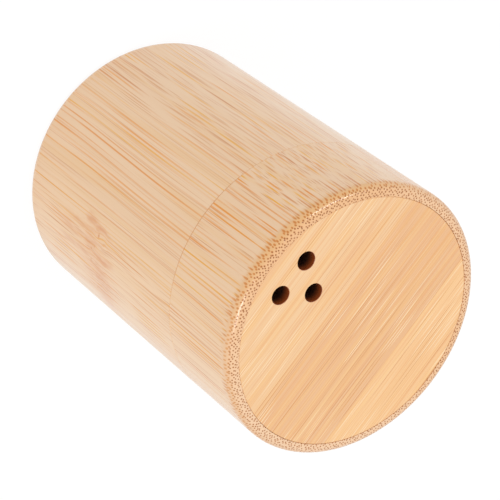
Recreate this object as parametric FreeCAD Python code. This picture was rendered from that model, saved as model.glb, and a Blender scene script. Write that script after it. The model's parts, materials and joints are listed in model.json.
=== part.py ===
import FreeCAD, Part
import os

# Toothpick dispenser turned from a bamboo culm. All lengths are in millimetres.
# The origin is the centre of the foot, +Z runs up the culm, and the holes lie towards -Y.

# The culm that the body and the lid ring are cut from
outer_radius = 30.0
culm_wall = 5.2
overall_height = 83.0
lid_height = 22.0
top_round = 1.8
foot_round = 2.4
seam_bevel = 0.1

# The neck turned on the body, and the socket in the lid that slips over it
neck_wall = 2.6
neck_length = 8.0
neck_bevel = 0.6
socket_bevel = 0.4
neck_clearance = 0.08
neck_end_gap = 0.3

# The round boards let into both ends, each glued up from three strips side by side along Y
board_thickness = 5.0
board_rim = 2.6
board_bevel = 0.1
glue_gap = 0.05
strip_width = 21.5
lid_joint_y = -7.5
base_joint_y = -10.5

# The three holes that the toothpicks are shaken out of: a pair near the rim, and one behind it
hole_radius = 2.0
hole_bevel = 0.1
hole_pair_spacing = 8.3
hole_pair_y = -21.0
single_hole_y = -14.3

# Sizes that follow from the ones above
bore_radius = outer_radius - culm_wall
seat_radius = outer_radius - board_rim
board_radius = seat_radius - glue_gap
seam_z = overall_height - lid_height
neck_radius = bore_radius + neck_wall
neck_top = seam_z + neck_length
socket_radius = neck_radius + neck_clearance
socket_top = neck_top + neck_end_gap
lid_board_z = overall_height - board_thickness
hole_places = [
    (-hole_pair_spacing / 2, hole_pair_y),
    (hole_pair_spacing / 2, hole_pair_y),
    (0.0, single_hole_y),
]

nodes = {}


def cylinder(radius, bottom, top, x=0.0, y=0.0):
    return Part.makeCylinder(radius, top - bottom, FreeCAD.Vector(x, y, bottom))


def tube(outer, inner, bottom, top):
    return cylinder(outer, bottom, top).cut(cylinder(inner, bottom, top))


def rim(shape, radius, z):
    # The circular edge about the culm's axis that has this radius and height
    near = 1e-6
    for edge in shape.Edges:
        if isinstance(edge.Curve, Part.Circle):
            if abs(edge.Curve.Radius - radius) < near and abs(edge.Curve.Center.z - z) < near:
                return edge
    raise ValueError(f"no rim of radius {radius} at height {z}")


def make_body_tube():
    # The long piece of culm: a seat for the base board below, a shoulder and a neck above
    culm = tube(outer_radius, bore_radius, 0, seam_z)
    neck = tube(neck_radius, bore_radius, seam_z, neck_top)
    body = culm.fuse(neck).removeSplitter()
    body = body.cut(cylinder(seat_radius, 0, board_thickness))
    body = body.makeFillet(foot_round, [rim(body, outer_radius, 0)])
    body = body.makeChamfer(seam_bevel, [rim(body, outer_radius, seam_z)])
    return body.makeChamfer(neck_bevel, [rim(body, neck_radius, neck_top)])


def make_lid_ring():
    # The short piece of culm: a seat for the lid board above, and a socket for the neck below
    ring = tube(outer_radius, bore_radius, seam_z, overall_height)
    ring = ring.cut(cylinder(seat_radius, lid_board_z, overall_height))
    ring = ring.cut(cylinder(socket_radius, seam_z, socket_top))
    ring = ring.makeFillet(top_round, [rim(ring, outer_radius, overall_height)])
    ring = ring.makeChamfer(seam_bevel, [rim(ring, outer_radius, seam_z)])
    return ring.makeChamfer(socket_bevel, [rim(ring, socket_radius, seam_z)])


def drill_holes(board):
    # Straight holes through the board, with the sharp edge taken off at both faces
    for x, y in hole_places:
        board = board.cut(cylinder(hole_radius, lid_board_z, overall_height, x, y))
        for z, way in ((lid_board_z, 1), (overall_height, -1)):
            bevel = Part.makeCone(
                hole_radius + hole_bevel, hole_radius, hole_bevel,
                FreeCAD.Vector(x, y, z), FreeCAD.Vector(0, 0, way),
            )
            board = board.cut(bevel)
    return board


def add_strips(name, board, first_joint_y):
    # The board sawn along X at its glue joints, from the front strip to the back one
    box = board.BoundBox
    edges = [box.YMin, first_joint_y, first_joint_y + strip_width, box.YMax]
    for place, front, back in zip(("front", "middle", "back"), edges, edges[1:]):
        slab = Part.makeBox(
            box.XLength, back - front, box.ZLength, FreeCAD.Vector(box.XMin, front, box.ZMin)
        )
        nodes[f"{name}_{place}_strip"] = board.common(slab)


def make_base_board():
    # Its outer face is flush with the end of the culm, and both rest on the table
    board = cylinder(board_radius, 0, board_thickness)
    board = board.makeChamfer(board_bevel, [rim(board, board_radius, 0)])
    add_strips("base_board", board, base_joint_y)


def make_lid_board():
    board = cylinder(board_radius, lid_board_z, overall_height)
    board = board.makeChamfer(board_bevel, [rim(board, board_radius, overall_height)])
    add_strips("lid_board", drill_holes(board), lid_joint_y)


nodes["body_tube"] = make_body_tube()
nodes["lid_ring"] = make_lid_ring()
make_base_board()
make_lid_board()

os.makedirs("parts", exist_ok=True)
for name, shape in nodes.items():
    shape.exportStep(f"parts/{name}.step")
    print(name, "solids", len(shape.Solids), "volume", round(shape.Volume, 1), "valid", shape.isValid())
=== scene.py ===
import json
import math

import bpy
from mathutils import Matrix, Vector


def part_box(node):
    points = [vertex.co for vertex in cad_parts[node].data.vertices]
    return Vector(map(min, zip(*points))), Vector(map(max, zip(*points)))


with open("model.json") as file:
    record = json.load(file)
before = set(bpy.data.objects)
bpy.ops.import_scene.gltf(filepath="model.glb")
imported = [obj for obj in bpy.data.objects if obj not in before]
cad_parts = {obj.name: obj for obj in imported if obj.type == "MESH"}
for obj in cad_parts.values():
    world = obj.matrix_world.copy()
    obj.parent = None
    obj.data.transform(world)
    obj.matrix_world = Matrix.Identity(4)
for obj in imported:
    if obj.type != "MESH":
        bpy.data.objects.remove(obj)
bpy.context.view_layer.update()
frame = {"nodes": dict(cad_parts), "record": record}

mm = 0.001

# sizes read from the frame, in mm
ringLow, ringHigh = (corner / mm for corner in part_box("lid_ring"))
culmRadius = ringHigh.x
lidTop = ringHigh.z
seamHeight = ringLow.z
holeMounts = [mount for mount in frame["record"]["mounts"] if mount["kind"] == "bore"]


def shade(red, green, blue):
    # a colour given as it shows on screen, 0 to 255, as the linear values that shaders mix
    def linear(value):
        value /= 255
        return value / 12.92 if value <= 0.04045 else ((value + 0.055) / 1.055) ** 2.4
    return (linear(red), linear(green), linear(blue), 1.0)


def direction(azimuth, elevation=0.0):
    # out from the dispenser: degrees round from +X, and degrees up
    azimuth, elevation = math.radians(azimuth), math.radians(elevation)
    return Vector((math.cos(azimuth) * math.cos(elevation),
                   math.sin(azimuth) * math.cos(elevation),
                   math.sin(elevation)))


def standAt(name, data, spot, turn):
    # puts the camera or a lamp in the scene
    holder = bpy.data.objects.new(name, data)
    holder.matrix_world = Matrix.Translation(spot) @ turn.to_4x4()
    bpy.context.scene.collection.objects.link(holder)
    return holder


camera = {
    "aim": (1.1, 0.0, 45.3),   # the point in the middle of the view, mm
    "distance": 458.3,         # from that point to the lens, mm
    "azimuth": -90.92,
    "elevation": 47.46,
    "roll": 127.29,            # degrees: the dispenser lies across the view, with its lid down to the right
    "lens": 155.4,             # mm
}


def placeCamera():
    back = direction(camera["azimuth"], camera["elevation"])
    level = back.to_track_quat("Z", "Y").to_matrix()
    turn = level @ Matrix.Rotation(math.radians(camera["roll"]), 3, "Z")
    eye = Vector(camera["aim"]) + back * camera["distance"]
    data = bpy.data.cameras.new("productCamera")
    data.lens = camera["lens"]
    data.clip_start = 0.01
    data.clip_end = 20
    bpy.context.scene.camera = standAt("productCamera", data, eye * mm, turn)


placeCamera()
print("camera placed")


class Tree:
    # Adds nodes to one node tree. Each call takes numbers or sockets and gives back an output socket.

    def __init__(self, nodeTree):
        self.nodes = nodeTree.nodes
        self.links = nodeTree.links

    def put(self, socket, value):
        if isinstance(value, bpy.types.NodeSocket):
            self.links.new(value, socket)
        elif value is not None:
            socket.default_value = value

    def coordinates(self, name):
        return self.nodes.new("ShaderNodeTexCoord").outputs[name]

    def maths(self, operation, first, second=None, third=None):
        node = self.nodes.new("ShaderNodeMath")
        node.operation = operation
        for socket, value in zip(node.inputs, (first, second, third)):
            self.put(socket, value)
        return node.outputs[0]

    def times(self, *values):
        product = values[0]
        for value in values[1:]:
            product = self.maths("MULTIPLY", product, value)
        return product

    def between(self, amount, start, end):
        # start where the amount is 0, and end where it is 1
        return self.maths("MULTIPLY_ADD", amount, end - start, start)

    def step(self, value, low, high, start=0.0, end=1.0):
        # a soft step from start to end as the value goes from low to high
        node = self.nodes.new("ShaderNodeMapRange")
        node.interpolation_type = "SMOOTHSTEP"
        for name, number in (("Value", value), ("From Min", low), ("From Max", high),
                             ("To Min", start), ("To Max", end)):
            self.put(node.inputs[name], number)
        return node.outputs[0]

    def vectors(self, operation, first, second=None, scale=None):
        node = self.nodes.new("ShaderNodeVectorMath")
        node.operation = operation
        self.put(node.inputs[0], first)
        self.put(node.inputs[1], second)
        if operation == "SCALE":
            self.put(node.inputs["Scale"], scale)
        return node.outputs["Value" if operation in ("LENGTH", "DOT_PRODUCT") else "Vector"]

    def split(self, vector):
        node = self.nodes.new("ShaderNodeSeparateXYZ")
        self.put(node.inputs[0], vector)
        return node.outputs

    def join(self, x, y, z):
        node = self.nodes.new("ShaderNodeCombineXYZ")
        for socket, value in zip(node.inputs, (x, y, z)):
            self.put(socket, value)
        return node.outputs[0]

    def noise(self, vector, stretch, detail=2.0, roughness=0.5, output="Fac"):
        node = self.nodes.new("ShaderNodeTexNoise")
        self.put(node.inputs["Vector"], self.vectors("MULTIPLY", vector, stretch))
        self.put(node.inputs["Scale"], 1.0)
        self.put(node.inputs["Detail"], detail)
        self.put(node.inputs["Roughness"], roughness)
        return node.outputs[output]

    def cells(self, vector, spacing, randomness=1.0):
        # distance to the nearest cell's middle, and three random numbers of that cell
        node = self.nodes.new("ShaderNodeTexVoronoi")
        node.voronoi_dimensions = "2D"
        self.put(node.inputs["Vector"], vector)
        self.put(node.inputs["Scale"], 1 / spacing)
        self.put(node.inputs["Randomness"], randomness)
        distance = self.maths("MULTIPLY", node.outputs["Distance"], spacing)
        return distance, self.split(node.outputs["Color"])

    def mix(self, amount, first, second):
        node = self.nodes.new("ShaderNodeMix")
        node.data_type = "RGBA"
        self.put(node.inputs["Factor"], amount)
        for socket, value in zip([s for s in node.inputs if s.type == "RGBA"], (first, second)):
            self.put(socket, value)
        return [s for s in node.outputs if s.type == "RGBA"][0]

    def bump(self, height, distance):
        node = self.nodes.new("ShaderNodeBump")
        self.put(node.inputs["Height"], height)
        self.put(node.inputs["Distance"], distance)
        return node.outputs[0]


def startMaterial(name, finish):
    # a lacquered wood, its tree and shader, and the place of each point in mm on the CAD frame
    material = bpy.data.materials.new(name)
    material.use_nodes = True
    tree = Tree(material.node_tree)
    shader = tree.nodes["Principled BSDF"]
    shader.inputs["Coat Weight"].default_value = finish["coat"]
    shader.inputs["Coat Roughness"].default_value = finish["coatRoughness"]
    place = tree.vectors("SCALE", tree.coordinates("Object"), scale=1 / mm)
    return material, tree, shader, place


culm = {
    # the wood between the fibres, along the side
    "pale": shade(236, 201, 164),
    "peach": shade(234, 197, 158),
    "honey": shade(233, 191, 141),
    "sunny": shade(241, 202, 158),
    # fibre bundles seen along their length
    "goldFibre": shade(234, 166, 38),
    "orangeFibre": shade(229, 143, 42),
    "duskyFibre": shade(210, 148, 94),
    "brownFibre": shade(208, 136, 76),
    # the rounded rim, cut aslant
    "rimWood": shade(227, 177, 119),
    "paleRimWood": shade(235, 191, 147),
    "rimFibre": shade(202, 124, 46),
    "paleRimFibre": shade(222, 158, 98),
    # the end grain
    "endWood": shade(236, 185, 134),
    "paleEndWood": shade(242, 203, 164),
    "endFibre": shade(200, 126, 62),
    "pore": shade(146, 80, 10),
    "scar": shade(220, 146, 88),
    # the line at the seam: partly a dark joint, partly painted shade of the groove
    "seamShadeLine": shade(214, 154, 96),
    # sides of the culm that differ: azimuth in degrees, then how many mm out that way
    # the change starts and is full
    "sunnySide": (-14.0, 14.0, 29.0),
    "nearSide": (-82.5, 18.0, 29.0),
    # where the seam's painted shade is strongest
    "seamShadeSide": (-82.5, 24.0, 30.0),
    "paleRimSide": (70.0, -30.0, -14.0),
    "paleEndSide": (17.0, -12.0, 29.0),
    "backEndSide": (160.0, 14.0, 27.0),
    "polishedSide": (-128.0, 10.0, 25.0),
    "patchEdge": 6.0,        # degrees that the patches of each piece fade out over, both ways
    # how far each change of tone goes, from 0 to 1
    "sunnyShare": 0.7,
    "honeyShare": 0.8,
    "nearHoneyShare": 0.1,
    "backEndShare": 0.6,
    "seamShadeShare": 0.75,
    "hairShare": 0.8,
    "endFibreShare": 0.6,
    "brownShare": (0.12, 0.97),    # outside the brown patches and in them
    # the fibre bundles, in mm
    "skin": 0.1,             # wood left over the outermost row
    "spacing": 0.65,         # from one bundle to the next
    "bundleRadius": 0.25,    # of the thinnest
    "bundleSpread": 0.1,     # how much more the thickest have
    "bundleScale": (0.85, 0.9),    # how much of that shows along the side and on the rounded end
    "scatter": 0.6,          # 0 for bundles in even rows, 1 for bundles anywhere
    "hairSpacing": 0.42,     # from one of the finest fibres to the next
    "hairRadius": 0.12,
    "poreRadius": 0.2,
    "palePoreRadius": 0.165,
    "bumpDepth": 0.02,       # how deep they lie
    "wander": 1.6,           # how far the bundles stray round the culm
    "ripple": 0.5,           # how far they stray in and out
    "rimFrom": (3.2, 1.0),   # from the end to where the rim's own tone starts and is full
    "tailsFrom": (4.5, 1.6),    # the same for the dark ends of the bundles
    # waves of noise for each mm: x and y, across the culm, and z, along it
    "wanderStretch": (0.06, 0.06, 0.018),
    "rippleStretch": (0.14, 0.14, 0.015),
    "fadeStretch": (0.4, 0.4, 0.045),
    "bandStretch": (0.22, 0.22, 0.008),
    "honeyStretch": (0.42, 0.42, 0.012),
    "roughness": (0.33, 0.4),    # of the wood and of the fibres
    "polish": 0.2,           # how much less rough the cut ends are on the polished side
    "coat": 0.45,
    "coatRoughness": 0.12,
}

bodyTube = {
    "roundedEnd": 0.0,       # its height, mm
    "wornLength": 3.0,       # mm from it to where the side starts to turn in
    "wornDepth": 0.03,       # mm that it has turned in 1 mm on, and four times that 2 mm on
    "rimTone": 0.1,          # how far it is darker than the side
    "contrast": 0.98,        # how strongly the fibres show
    # the bundles lean out through the side, and show as dashes where they lean most
    "lean": 0.005,           # mm outwards for each mm of height
    "middle": 30.0,          # height about which they lean, mm
    # patches: azimuth and half width in degrees, more lean, how brown, how much stronger the fibres show
    "patches": [(-137, 26, 0.018, 1.0, 0.05), (-62, 12, 0.0, 0.8, 0.05), (-38, 16, 0.02, 1.0, 0.1),
                (38, 40, 0.03, 1.0, 0.1)],
    "seed": 44.4,
    "toneSeed": 190.0,
    # the scar of a node: mm round from the front, height, half width, half height, strength
    "marks": [(16.4, 28.6, 1.6, 3.2, 0.65), (17.3, 32.6, 1.0, 4.4, 0.55), (18.7, 31.8, 0.7, 0.5, 0.9),
              (18.9, 25.0, 0.9, 9.0, 0.5), (21.6, 28.4, 2.4, 4.4, 0.6), (21.6, 22.0, 1.6, 9.0, 0.4),
              (21.9, 30.2, 0.9, 0.5, 0.9), (22.8, 29.1, 0.7, 0.5, 0.9), (23.8, 33.4, 1.4, 4.6, 0.65),
              (25.8, 28.6, 0.9, 0.8, 0.8), (25.2, 23.4, 1.2, 8.0, 0.45), (27.4, 31.4, 3.0, 4.6, 0.5),
              (29.4, 32.0, 2.8, 4.6, 0.6), (33.0, 30.6, 3.6, 5.0, 0.5), (37.0, 30.0, 3.8, 5.0, 0.45),
              (28.0, 29.5, 13.0, 8.0, 0.3), (-17.8, 36.0, 0.2, 0.2, 1.0), (-15.2, 36.1, 0.12, 0.12, 1.0)],
    "tangleStretch": (0.4, 0.4, 0.22),
    "tangle": 2.4,           # mm that the marks are pulled out of shape
    # where the fibres wave about the scar: from and to round, from and to in height, mm
    "waves": (13.0, 38.0, 25.5, 36.5),
    "waviness": 2.2,         # mm
}

lidRing = {
    "roundedEnd": lidTop,
    "wornLength": 4.2,
    "wornDepth": 0.035,
    "rimTone": 1.0,
    "contrast": 1.3,
    "lean": 0.006,
    "middle": 72.0,
    "patches": [(-134, 24, -0.075, 1.0, -0.15), (-92, 18, -0.02, 0.0, 0.3), (-46, 14, 0.0, 1.0, -0.25),
                (52, 34, 0.085, 1.0, 0.0)],
    "seed": 52.6,
    "toneSeed": 163.0,
    "marks": [],
}


def towards(tree, place, side):
    # 0 to 1 across the culm in one direction
    azimuth, start, full = side
    return tree.step(tree.vectors("DOT_PRODUCT", place, direction(azimuth)), start, full)


def cutAcross(tree, place, radius, piece):
    # how far the bundles lean out, how brown they are and how strongly they show
    lean, brown, contrast = piece["lean"], 0.0, piece["contrast"]
    for azimuth, halfWidth, extra, browning, bolder in piece["patches"]:
        off = tree.maths("DIVIDE", tree.vectors("DOT_PRODUCT", place, direction(azimuth)), radius)
        outside = math.cos(math.radians(halfWidth + culm["patchEdge"]))
        inside = math.cos(math.radians(halfWidth - culm["patchEdge"]))
        patch = tree.step(off, outside, inside)
        lean = tree.maths("MULTIPLY_ADD", patch, extra, lean)
        brown = tree.maths("MAXIMUM", brown, tree.times(patch, browning))
        contrast = tree.maths("MULTIPLY_ADD", patch, bolder, contrast)
    return lean, brown, contrast


def nodeScar(tree, place, around, height, piece):
    # how strong the scar is, and the way round with the fibres waved about it
    tangle = tree.noise(place, piece["tangleStretch"], 3.0, output="Color")
    tangle = tree.vectors("SUBTRACT", tangle, (0.5, 0.5, 0.5))
    spread = tree.vectors("ADD", tree.join(around, height, 0.0),
                          tree.vectors("SCALE", tangle, scale=piece["tangle"]))
    scar = 0.0
    for left, middle, halfWidth, halfHeight, amount in piece["marks"]:
        off = tree.vectors("SUBTRACT", spread, (left, middle, 0.0))
        off = tree.vectors("LENGTH", tree.vectors("MULTIPLY", off, (1 / halfWidth, 1 / halfHeight, 0.0)))
        scar = tree.maths("MAXIMUM", scar, tree.step(off, 0.1, 1.3, amount, 0.0))
    streaks = tree.step(tree.noise(place, (1.6, 1.6, 0.25)), 0.3, 0.7, 0.6, 1.4)
    left, right, low, high = piece["waves"]
    near = tree.times(tree.step(around, left, left + 4.0), tree.step(around, right - 5.0, right, 1.0, 0.0),
                      tree.step(height, low, low + 3.0), tree.step(height, high - 3.0, high, 1.0, 0.0))
    wave = tree.times(tree.split(tangle)[0], piece["waviness"])
    return tree.times(scar, streaks), tree.maths("MULTIPLY_ADD", near, wave, around)


def culmMaterial(name, piece):
    material, tree, shader, place = startMaterial(name, culm)
    x, y, z = tree.split(place)
    radius = tree.vectors("LENGTH", tree.join(x, y, 0.0))
    lean, brown, contrast = cutAcross(tree, place, radius, piece)
    sunny = tree.times(towards(tree, place, culm["sunnySide"]), culm["sunnyShare"])
    near = tree.times(towards(tree, place, culm["nearSide"]), culm["nearHoneyShare"])
    paleRim = towards(tree, place, culm["paleRimSide"])
    backEnd = tree.times(towards(tree, place, culm["backEndSide"]), culm["backEndShare"])
    paleEnd = tree.maths("MAXIMUM", towards(tree, place, culm["paleEndSide"]), backEnd)

    # mm round the culm from the front, and mm in from its skin, which is worn in a little near the end
    fromEnd = tree.maths("ABSOLUTE", tree.maths("SUBTRACT", z, piece["roundedEnd"]))
    worn = tree.maths("MAXIMUM", tree.maths("SUBTRACT", piece["wornLength"], fromEnd), 0.0)
    wander = tree.noise(place, culm["wanderStretch"], 1.0)
    ripple = tree.noise(place, culm["rippleStretch"], 1.0)
    around = tree.times(tree.maths("ARCTAN2", x, tree.times(y, -1.0)), culmRadius)
    if piece["marks"]:
        scar, around = nodeScar(tree, place, around, z, piece)
    around = tree.maths("ADD", around, tree.maths("MULTIPLY_ADD", wander, culm["wander"], piece["seed"]))
    inwards = tree.maths("MULTIPLY_ADD", tree.times(worn, worn), piece["wornDepth"],
                         tree.maths("SUBTRACT", culmRadius, radius))
    inwards = tree.maths("ADD", inwards, tree.times(lean, tree.maths("SUBTRACT", z, piece["middle"])))
    inwards = tree.maths("ADD", inwards, tree.maths("MULTIPLY_ADD", ripple, culm["ripple"],
                                                    -culm["ripple"] / 2 - culm["skin"]))
    # the bundles stand in staggered rows
    section = tree.join(tree.maths("ADD", around, inwards), tree.maths("SUBTRACT", around, inwards), 0.0)
    section = tree.vectors("SCALE", section, scale=math.sqrt(0.5))

    distance, dice = tree.cells(section, culm["spacing"], culm["scatter"])
    rounding = tree.step(fromEnd, *culm["rimFrom"], 0.0, piece["rimTone"])
    size = tree.times(tree.maths("MULTIPLY_ADD", dice[0], culm["bundleSpread"], culm["bundleRadius"]),
                      tree.between(rounding, *culm["bundleScale"]))
    bundle = tree.step(tree.maths("DIVIDE", distance, size), tree.between(rounding, 0.3, 0.5), 1.0, 1.0, 0.0)
    fade = tree.step(tree.noise(place, culm["fadeStretch"], 1.0), 0.34, 0.6, 0.5, 1.0)
    shown = tree.times(tree.step(dice[1], 0.0, 0.9, 0.3, 0.9), fade, contrast)
    tails = tree.step(fromEnd, *culm["tailsFrom"], 0.0, piece["rimTone"])
    strength = tree.times(bundle, tree.maths("MAXIMUM", shown, tails))
    hairDistance, hairDice = tree.cells(tree.vectors("ADD", section, (7.3, 3.1, 0.0)), culm["hairSpacing"])
    hair = tree.times(tree.step(hairDistance, culm["hairRadius"] * 0.3, culm["hairRadius"], 1.0, 0.0),
                      hairDice[0], contrast, culm["hairShare"])

    # broad bands of tone run up the culm, with the fibres over them
    shifted = tree.vectors("ADD", place, (piece["toneSeed"], 0.0, 0.0))
    band = tree.noise(shifted, culm["bandStretch"], 3.0, 0.6)
    honey = tree.noise(shifted, culm["honeyStretch"], 2.0, 0.6)
    honey = tree.maths("MAXIMUM", tree.step(honey, 0.45, 0.66, 0.0, culm["honeyShare"]), near)
    wood = tree.mix(tree.step(band, 0.36, 0.62), culm["pale"], culm["peach"])
    wood = tree.mix(honey, wood, culm["honey"])
    wood = tree.mix(sunny, wood, culm["sunny"])
    wood = tree.mix(hair, wood, culm["duskyFibre"])
    wood = tree.mix(rounding, wood, tree.mix(paleRim, culm["rimWood"], culm["paleRimWood"]))
    fibre = tree.mix(tree.step(dice[2], 0.1, 0.5), culm["goldFibre"], culm["orangeFibre"])
    brown = tree.between(tree.maths("MAXIMUM", brown, sunny), *culm["brownShare"])
    fibre = tree.mix(tree.times(tree.step(dice[2], 0.4, 0.9), brown), fibre, culm["brownFibre"])
    fibre = tree.mix(rounding, fibre, tree.mix(paleRim, culm["rimFibre"], culm["paleRimFibre"]))
    sideWood = tree.mix(strength, wood, fibre)
    if piece["marks"]:
        sideWood = tree.mix(scar, sideWood, culm["scar"])

    # the small bevels at the seam stay as the side is; the line between them is partly a dark joint and
    # partly painted shade of the groove, darker in front
    fromSeam = tree.maths("ABSOLUTE", tree.maths("SUBTRACT", z, seamHeight))
    skin = tree.step(radius, culmRadius - 0.2, culmRadius - 0.12)
    offBevel = tree.between(tree.times(tree.step(fromSeam, 0.1, 0.3, 1.0, 0.0), skin), 1.0, 0.0)
    seamShade = tree.times(tree.step(fromSeam, 0.08, 0.14, 1.0, 0.0), skin,
                      towards(tree, place, culm["seamShadeSide"]), culm["seamShadeShare"])

    # the cut ends show the bundles as dots, each with a dark pore
    up = tree.maths("ABSOLUTE", tree.split(tree.coordinates("Normal"))[2])
    endWood = tree.mix(paleEnd, culm["endWood"], culm["paleEndWood"])
    endWood = tree.mix(tree.times(bundle, culm["endFibreShare"]), endWood, culm["endFibre"])
    poreRadius = tree.between(paleEnd, culm["poreRadius"], culm["palePoreRadius"])
    pore = tree.times(tree.step(tree.maths("DIVIDE", distance, poreRadius), 0.5, 1.0, 1.0, 0.0),
                      tree.step(dice[1], 0.0, 0.6, 0.6, 1.0), tree.step(up, 0.5, 0.9), offBevel)
    colour = tree.mix(tree.times(tree.step(up, 0.7, 1.0), offBevel), sideWood, endWood)
    colour = tree.mix(pore, colour, culm["pore"])
    colour = tree.mix(seamShade, colour, culm["seamShadeLine"])
    polish = tree.times(tree.step(up, 0.5, 0.75), tree.between(pore, 1.0, 0.0), offBevel,
                        towards(tree, place, culm["polishedSide"]))
    roughness = tree.step(strength, 0.0, 1.0, *culm["roughness"])
    roughness = tree.maths("MULTIPLY_ADD", polish, -culm["polish"], roughness)
    tree.put(shader.inputs["Base Color"], colour)
    tree.put(shader.inputs["Roughness"], roughness)
    tree.put(shader.inputs["Normal"], tree.bump(tree.times(bundle, -1.0), culm["bumpDepth"] * mm))
    return material


board = {
    "lightWood": shade(242, 201, 153),
    "tanWood": shade(235, 186, 137),
    "yellowWood": shade(248, 203, 148),
    "butter": shade(247, 200, 134),
    "grain": shade(222, 140, 66),
    "darkLine": shade(200, 128, 58),
    "paleLine": shade(255, 228, 188),
    # how far each goes at most, from 0 to 1
    "butterShare": 0.5,
    "bandShare": 0.14,
    "fineShare": 0.34,
    # waves of noise for each mm: along the grain and across it
    "butterStretch": (0.006, 0.6, 1.0),
    "bandStretch": (0.005, 0.9, 1.0),
    "fineStretch": (0.02, 3.6, 1.0),
    "bendStretch": (0.015, 0.05, 0.05),
    "bend": 0.9,            # mm that the grain bends sideways
    "slant": 0.7,           # mm across for each mm of thickness
    # thin lines: mm across the grain from one to the next, mm long, and how much of that each takes up
    "darkLines": {"width": 0.45, "length": 75.0, "thickness": 0.22, "share": 0.7},
    "paleLines": {"width": 0.5, "length": 34.0, "thickness": 0.2, "share": 1.0},
    "roughness": (0.32, 0.42),    # of the pale grain and of the dark
    "coat": 0.5,
    "coatRoughness": 0.15,
    "bumpDepth": 0.01,      # mm
}

# the drilled holes: a drill-browned wall, with painted shade that darkens it deeper down
burnAndHoleShade = {
    "edge": shade(160, 78, 34),
    # painted shade deep in the holes
    "deep": shade(56, 34, 24),
    "reach": 0.06,    # mm of wood that the drill has browned round each hole
    "depth": 2.6,     # mm down to where the painted shade is full, nearly black
}


def grainLines(tree, along, across, lines, contrast):
    # thin marks that taper out along the grain, some of them fainter
    spot = tree.join(tree.maths("DIVIDE", along, lines["length"]),
                     tree.maths("DIVIDE", across, lines["width"]), 0.0)
    distance, dice = tree.cells(spot, 1.0)
    mark = tree.step(distance, lines["thickness"] * 0.3, lines["thickness"], 1.0, 0.0)
    return tree.times(mark, tree.step(dice[0], 0.1, 0.8, 0.0, lines["share"] * contrast))


def paintBurnAndHoleShade(tree, x, y, z, colour):
    # the walls of the drilled holes: browned by the drill near the top, then painted shade that makes them
    # darker the deeper they are
    depth = tree.maths("SUBTRACT", lidTop, z)
    burnAndShade = tree.mix(tree.step(depth, 0.2, burnAndHoleShade["depth"]), burnAndHoleShade["edge"], burnAndHoleShade["deep"])
    for mount in holeMounts:
        holeX, holeY = (value / mm for value in mount["pos_m"][:2])
        reach = mount["dims"]["r_mm"] + burnAndHoleShade["reach"]
        off = tree.vectors("LENGTH", tree.join(tree.maths("SUBTRACT", x, holeX),
                                               tree.maths("SUBTRACT", y, holeY), 0.0))
        colour = tree.mix(tree.step(off, reach - 0.02, reach + 0.02, 1.0, 0.0), colour, burnAndShade)
    return colour


def boardMaterial(name, wood, seed, contrast=1.0, drilled=False):
    material, tree, shader, place = startMaterial(name, board)
    x, y, z = tree.split(place)
    bend = tree.noise(place, board["bendStretch"], 1.0)
    across = tree.maths("ADD", tree.maths("MULTIPLY_ADD", bend, board["bend"], seed),
                        tree.maths("MULTIPLY_ADD", z, board["slant"], y))
    along = tree.maths("ADD", x, seed * 3.0)
    flow = tree.join(along, across, 0.0)

    butter = tree.noise(tree.vectors("ADD", flow, (50.0, 50.0, 0.0)), board["butterStretch"])
    bands = tree.noise(flow, board["bandStretch"], 2.0, 0.6)
    fine = tree.noise(flow, board["fineStretch"], 2.0, 0.7)
    dark = grainLines(tree, along, across, board["darkLines"], contrast)
    pale = grainLines(tree, along, tree.maths("ADD", across, 0.31), board["paleLines"], contrast)
    colour = tree.mix(tree.step(butter, 0.4, 0.65, 0.0, board["butterShare"]), wood, board["butter"])
    colour = tree.mix(tree.step(bands, 0.42, 0.66, 0.0, board["bandShare"]), colour, board["grain"])
    colour = tree.mix(tree.step(fine, 0.4, 0.68, 0.0, board["fineShare"]), colour, board["grain"])
    colour = tree.mix(dark, colour, board["darkLine"])
    colour = tree.mix(pale, colour, board["paleLine"])
    if drilled:
        # drill browning and painted shade in the holes
        colour = paintBurnAndHoleShade(tree, x, y, z, colour)
    tree.put(shader.inputs["Base Color"], colour)
    tree.put(shader.inputs["Roughness"], tree.step(fine, 0.3, 0.7, *board["roughness"]))
    tree.put(shader.inputs["Normal"], tree.bump(bands, board["bumpDepth"] * mm))
    return material


def dress(node, material):
    piece = frame["nodes"][node]
    piece.data.materials.clear()
    piece.data.materials.append(material)


dress("body_tube", culmMaterial("turnedCulmBody", bodyTube))
dress("lid_ring", culmMaterial("turnedCulmLid", lidRing))
print("culm finished")

# each strip has its own wood, seed and contrast
dress("lid_board_front_strip",
      boardMaterial("lightStripDrilled", board["lightWood"], 26.5, 0.9, drilled=True))
dress("lid_board_middle_strip", boardMaterial("tanStrip", board["tanWood"], 66.3, 1.2))
dress("lid_board_back_strip", boardMaterial("yellowStrip", board["yellowWood"], 24.2, 1.2))
dress("base_board_front_strip", boardMaterial("baseTanStrip", board["tanWood"], 21.0))
dress("base_board_middle_strip", boardMaterial("baseLightStrip", board["lightWood"], 25.0))
dress("base_board_back_strip", boardMaterial("baseYellowStrip", board["yellowWood"], 29.0))
print("boards finished")


studio = {
    "sky": 0.72,            # strength of the sky as a light
    "floorSize": 4.0,       # m
    "floorColour": shade(248, 248, 248),
    "floorRoughness": 0.9,
    "floorGlow": 0.88,      # how much of the floor that is seen straight is plain white
    "glowStrength": 1.04,
}


def seenStraight(tree):
    # 1 for what the lens sees straight, in a mirror or through glass
    path = tree.nodes.new("ShaderNodeLightPath")
    seen = tree.maths("MAXIMUM", path.outputs["Is Camera Ray"], path.outputs["Is Glossy Ray"])
    return tree.maths("MAXIMUM", seen, path.outputs["Is Transmission Ray"])


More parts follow.
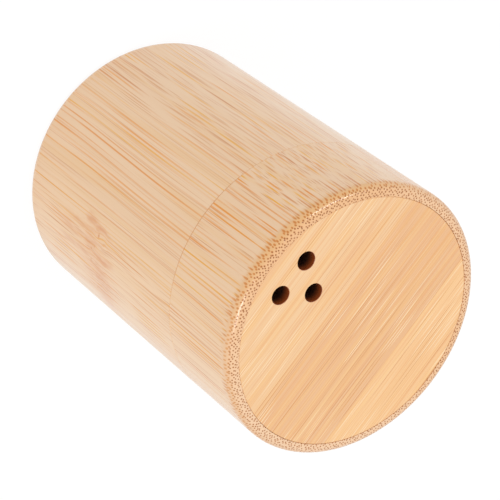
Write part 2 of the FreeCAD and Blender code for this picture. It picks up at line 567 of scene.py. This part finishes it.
def addSky():
    world = bpy.data.worlds.new("paleStudio")
    bpy.context.scene.world = world
    world.use_nodes = True
    tree = Tree(world.node_tree)
    background = tree.nodes["Background"]
    background.inputs["Color"].default_value = (1, 1, 1, 1)
    tree.put(background.inputs["Strength"], tree.between(seenStraight(tree), studio["sky"], 1.0))


def addFloor():
    half = studio["floorSize"] / 2
    corners = [(-half, -half, 0), (half, -half, 0), (half, half, 0), (-half, half, 0)]
    mesh = bpy.data.meshes.new("floor")
    mesh.from_pydata(corners, [], [(0, 1, 2, 3)])
    floor = bpy.data.objects.new("floor", mesh)
    bpy.context.scene.collection.objects.link(floor)
    material = bpy.data.materials.new("paleFloor")
    material.use_nodes = True
    tree = Tree(material.node_tree)
    shader = tree.nodes["Principled BSDF"]
    shader.inputs["Base Color"].default_value = studio["floorColour"]
    shader.inputs["Roughness"].default_value = studio["floorRoughness"]
    shader.inputs["Specular IOR Level"].default_value = 0.0
    glow = tree.nodes.new("ShaderNodeEmission")
    glow.inputs["Strength"].default_value = studio["glowStrength"]
    both = tree.nodes.new("ShaderNodeMixShader")
    tree.put(both.inputs[0], tree.times(seenStraight(tree), studio["floorGlow"]))
    tree.put(both.inputs[1], shader.outputs[0])
    tree.put(both.inputs[2], glow.outputs[0])
    tree.put(tree.nodes["Material Output"].inputs["Surface"], both.outputs[0])
    mesh.materials.append(material)


lamps = {
    # azimuth and elevation in degrees; width and height, m; power, W
    "longSoftbox": {"azimuth": -162, "elevation": 53, "size": (0.5, 0.16), "power": 1.7},
    "smallSoftbox": {"azimuth": -37, "elevation": 52, "size": (0.3, 0.3), "power": 2.5},
}


def addLamps():
    # each stands a metre from the middle of the lid's top, and faces it
    for name, lamp in lamps.items():
        back = direction(lamp["azimuth"], lamp["elevation"])
        data = bpy.data.lights.new(name, "AREA")
        data.shape = "RECTANGLE"
        data.size, data.size_y = lamp["size"]
        data.energy = lamp["power"]
        spot = Vector((0, 0, lidTop * mm)) + back
        standAt(name, data, spot, back.to_track_quat("Z", "Y").to_matrix())


addSky()
addFloor()
addLamps()
bpy.context.scene.view_settings.view_transform = "Standard"
print("floor, sky and lamps placed")
